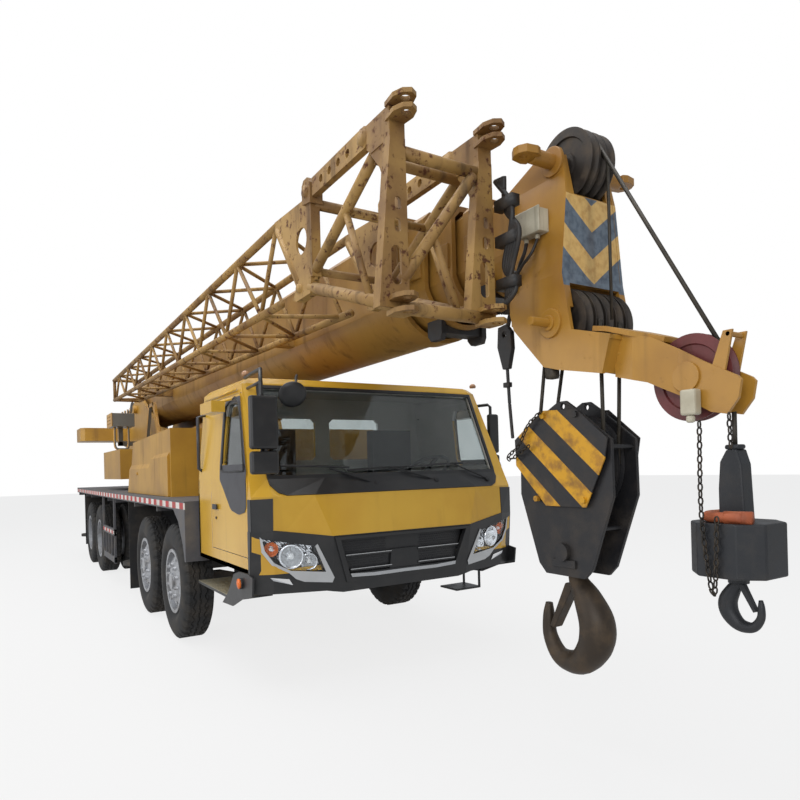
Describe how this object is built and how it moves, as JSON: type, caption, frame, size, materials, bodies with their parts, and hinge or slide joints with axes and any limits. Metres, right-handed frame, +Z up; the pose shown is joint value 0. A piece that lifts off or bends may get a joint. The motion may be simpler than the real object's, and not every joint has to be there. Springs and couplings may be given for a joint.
{
  "type": "truck-mounted telescopic crane",
  "caption": "Truck-mounted telescopic crane in road position, with a luffing boom, side-stowed lattice jib, hook blocks and sliding outriggers.",
  "frame": {"origin": "on the ground, below the middle of the overall length, on the centre line", "axes": "+X forward to the cab, +Y to the left of the driver, +Z up"},
  "size_m": [14.315, 2.75, 3.565],
  "materials": {
    "body_yellow": "semi-gloss paint",
    "boom_yellow": "weathered paint",
    "jib_yellow": "weathered paint with rust",
    "chassis_black": "satin",
    "fender_grey": "satin",
    "trim_black": "matte",
    "seat_grey": "woven",
    "lamp_clear": "clear",
    "window_glass": "clear",
    "rim_silver": "satin",
    "tyre_black": "matte",
    "cast_dark": "rough",
    "hook_brown": "worn",
    "rod_chrome": "polished",
    "steel_plate": "satin"
  },
  "bodies": {
    "carrier": {"chassis_frame": "chassis_black", "carrier_deck": "fender_grey", "axle_beams": "cast_dark", "engine_block": "cast_dark", "engine_hood": "body_yellow", "cab_shell": "body_yellow", "cab_trim": "trim_black", "cab_glass": "window_glass", "cab_interior": "seat_grey", "front_lamps": "lamp_clear"},
    "right_door": {"door_right": "body_yellow", "door_glass_right": "window_glass"},
    "left_door": {"door_left": "body_yellow", "door_glass_left": "window_glass"},
    "turntable": {"turntable_frame": "boom_yellow", "counterweight": "boom_yellow", "winch_drums": "cast_dark", "operator_cab": "body_yellow", "operator_cab_glass": "window_glass"},
    "operator_side_door": {"operator_door": "body_yellow"},
    "lift_cylinder": {"lift_barrel": "boom_yellow"},
    "lift_piston": {"lift_rod": "rod_chrome"},
    "boom_1": {"boom_base": "boom_yellow", "stowed_jib": "jib_yellow"},
    "boom_2": {"boom_section_2": "boom_yellow"},
    "boom_3": {"boom_section_3": "boom_yellow"},
    "boom_4": {"boom_section_4": "boom_yellow"},
    "boom_5": {"boom_head": "boom_yellow", "head_sheaves": "cast_dark"},
    "main_hook_block": {"hook_block": "boom_yellow", "main_hook": "hook_brown"},
    "aux_hook_block": {"aux_hook": "hook_brown"},
    "wheel_1_left": {"rim_1_left": "rim_silver", "tyre_1_left": "tyre_black"},
    "knuckle_1_left_body": {"knuckle_1_left": "cast_dark"},
    "wheel_1_right": {"rim_1_right": "rim_silver", "tyre_1_right": "tyre_black"},
    "knuckle_1_right_body": {"knuckle_1_right": "cast_dark"},
    "wheel_2_left": {"rim_2_left": "rim_silver", "tyre_2_left": "tyre_black"},
    "knuckle_2_left_body": {"knuckle_2_left": "cast_dark"},
    "wheel_2_right": {"rim_2_right": "rim_silver", "tyre_2_right": "tyre_black"},
    "knuckle_2_right_body": {"knuckle_2_right": "cast_dark"},
    "wheel_3_left": {"rim_3_left": "rim_silver", "tyre_3_left": "tyre_black"},
    "wheel_3_right": {"rim_3_right": "rim_silver", "tyre_3_right": "tyre_black"},
    "wheel_4_left": {"rim_4_left": "rim_silver", "tyre_4_left": "tyre_black"},
    "wheel_4_right": {"rim_4_right": "rim_silver", "tyre_4_right": "tyre_black"},
    "outrigger_front_left": {"outrigger_beam_front_left": "chassis_black"},
    "jack_front_left": {"outrigger_float_front_left": "steel_plate"},
    "outrigger_front_right": {"outrigger_beam_front_right": "chassis_black"},
    "jack_front_right": {"outrigger_float_front_right": "steel_plate"},
    "outrigger_rear_left": {"outrigger_beam_rear_left": "chassis_black"},
    "jack_rear_left": {"outrigger_float_rear_left": "steel_plate"},
    "outrigger_rear_right": {"outrigger_beam_rear_right": "chassis_black"},
    "jack_rear_right": {"outrigger_float_rear_right": "steel_plate"}
  },
  "joints": [
    {"name": "slew", "type": "hinge", "parent": "carrier", "child": "turntable", "pos_m": [-3.775, 0, 1.5], "axis": [0, 0, 1], "continuous": true},
    {"name": "boom_luff", "type": "hinge", "parent": "turntable", "child": "boom_1", "pos_m": [-5.125, 0, 2.95], "axis": [0, -1, 0], "range_deg": [0, 78]},
    {"name": "lift_pivot", "type": "hinge", "parent": "turntable", "child": "lift_cylinder", "pos_m": [-2.925, 0, 2.25], "axis": [0, -1, 0], "range_deg": [-1, 93.3]},
    {"name": "lift_stroke", "type": "slide", "parent": "lift_cylinder", "child": "lift_piston", "axis": [0.9988, 0, 0.0479], "range_m": [-0.01, 2.724]},
    {"name": "telescope_2", "type": "slide", "parent": "boom_1", "child": "boom_2", "axis": [1, 0, 0], "range_m": [0, 7.9]},
    {"name": "telescope_3", "type": "slide", "parent": "boom_2", "child": "boom_3", "axis": [1, 0, 0], "range_m": [0, 7.9]},
    {"name": "telescope_4", "type": "slide", "parent": "boom_3", "child": "boom_4", "axis": [1, 0, 0], "range_m": [0, 7.9]},
    {"name": "telescope_5", "type": "slide", "parent": "boom_4", "child": "boom_5", "axis": [1, 0, 0], "range_m": [0, 7.9]},
    {"name": "main_hook_swing", "type": "hinge", "parent": "boom_5", "child": "main_hook_block", "pos_m": [6.015, 0, 2.45], "axis": [0, -1, 0], "range_deg": [-79, 1]},
    {"name": "aux_hook_swing", "type": "hinge", "parent": "boom_5", "child": "aux_hook_block", "pos_m": [6.825, 0, 2.06], "axis": [0, -1, 0], "range_deg": [-79, 1]},
    {"name": "right_door_hinge", "type": "hinge", "parent": "carrier", "child": "right_door", "pos_m": [3.9, -1.25, 1.015], "axis": [0, 0, 1], "range_deg": [0, 70]},
    {"name": "left_door_hinge", "type": "hinge", "parent": "carrier", "child": "left_door", "pos_m": [3.9, 1.25, 1.015], "axis": [0, 0, -1], "range_deg": [0, 70]},
    {"name": "operator_door_hinge", "type": "hinge", "parent": "turntable", "child": "operator_side_door", "pos_m": [-3.325, 1.33, 1.7], "axis": [0, 0, 1], "range_deg": [0, 85]},
    {"name": "steer_1_left", "type": "hinge", "parent": "carrier", "child": "knuckle_1_left_body", "pos_m": [1.795, 1.1, 0.575], "axis": [0, 0, 1], "range_deg": [-35, 35]},
    {"name": "roll_1_left", "type": "hinge", "parent": "knuckle_1_left_body", "child": "wheel_1_left", "pos_m": [1.795, 1.215, 0.575], "axis": [0, 1, 0], "continuous": true},
    {"name": "steer_1_right", "type": "hinge", "parent": "carrier", "child": "knuckle_1_right_body", "pos_m": [1.795, -1.1, 0.575], "axis": [0, 0, 1], "range_deg": [-35.5, 35.5]},
    {"name": "roll_1_right", "type": "hinge", "parent": "knuckle_1_right_body", "child": "wheel_1_right", "pos_m": [1.795, -1.215, 0.575], "axis": [0, 1, 0], "continuous": true},
    {"name": "steer_2_left", "type": "hinge", "parent": "carrier", "child": "knuckle_2_left_body", "pos_m": [0.345, 1.1, 0.575], "axis": [0, 0, 1], "range_deg": [-26.5, 26.5]},
    {"name": "roll_2_left", "type": "hinge", "parent": "knuckle_2_left_body", "child": "wheel_2_left", "pos_m": [0.345, 1.215, 0.575], "axis": [0, 1, 0], "continuous": true},
    {"name": "steer_2_right", "type": "hinge", "parent": "carrier", "child": "knuckle_2_right_body", "pos_m": [0.345, -1.1, 0.575], "axis": [0, 0, 1], "range_deg": [-26.5, 26.5]},
    {"name": "roll_2_right", "type": "hinge", "parent": "knuckle_2_right_body", "child": "wheel_2_right", "pos_m": [0.345, -1.215, 0.575], "axis": [0, 1, 0], "continuous": true},
    {"name": "roll_3_left", "type": "hinge", "parent": "carrier", "child": "wheel_3_left", "pos_m": [-3.795, 1.215, 0.575], "axis": [0, 1, 0], "continuous": true},
    {"name": "roll_3_right", "type": "hinge", "parent": "carrier", "child": "wheel_3_right", "pos_m": [-3.795, -1.215, 0.575], "axis": [0, 1, 0], "continuous": true},
    {"name": "roll_4_left", "type": "hinge", "parent": "carrier", "child": "wheel_4_left", "pos_m": [-5.145, 1.215, 0.575], "axis": [0, 1, 0], "continuous": true},
    {"name": "roll_4_right", "type": "hinge", "parent": "carrier", "child": "wheel_4_right", "pos_m": [-5.145, -1.215, 0.575], "axis": [0, 1, 0], "continuous": true},
    {"name": "beam_slide_front_left", "type": "slide", "parent": "carrier", "child": "outrigger_front_left", "axis": [0, 1, 0], "range_m": [0, 1.55]},
    {"name": "jack_slide_front_left", "type": "slide", "parent": "outrigger_front_left", "child": "jack_front_left", "axis": [0, 0, -1], "range_m": [0, 0.5]},
    {"name": "beam_slide_front_right", "type": "slide", "parent": "carrier", "child": "outrigger_front_right", "axis": [0, -1, 0], "range_m": [0, 1.55]},
    {"name": "jack_slide_front_right", "type": "slide", "parent": "outrigger_front_right", "child": "jack_front_right", "axis": [0, 0, -1], "range_m": [0, 0.5]},
    {"name": "beam_slide_rear_left", "type": "slide", "parent": "carrier", "child": "outrigger_rear_left", "axis": [0, 1, 0], "range_m": [0, 1.55]},
    {"name": "jack_slide_rear_left", "type": "slide", "parent": "outrigger_rear_left", "child": "jack_rear_left", "axis": [0, 0, -1], "range_m": [0, 0.5]},
    {"name": "beam_slide_rear_right", "type": "slide", "parent": "carrier", "child": "outrigger_rear_right", "axis": [0, -1, 0], "range_m": [0, 1.55]},
    {"name": "jack_slide_rear_right", "type": "slide", "parent": "outrigger_rear_right", "child": "jack_rear_right", "axis": [0, 0, -1], "range_m": [0, 0.5]}
  ],
  "couplings": [
    {"joint": "lift_pivot", "follows": "boom_luff", "ratio": 1.1706},
    {"joint": "lift_stroke", "follows": "boom_luff", "m_per_rad": 1.9639},
    {"joint": "telescope_3", "follows": "telescope_2", "ratio": 1},
    {"joint": "telescope_4", "follows": "telescope_2", "ratio": 1},
    {"joint": "telescope_5", "follows": "telescope_2", "ratio": 1},
    {"joint": "main_hook_swing", "follows": "boom_luff", "ratio": -1},
    {"joint": "aux_hook_swing", "follows": "boom_luff", "ratio": -1},
    {"joint": "steer_1_right", "follows": "steer_1_left", "ratio": 1},
    {"joint": "steer_2_left", "follows": "steer_1_left", "ratio": 0.74286},
    {"joint": "steer_2_right", "follows": "steer_1_left", "ratio": 0.74286}
  ]
}
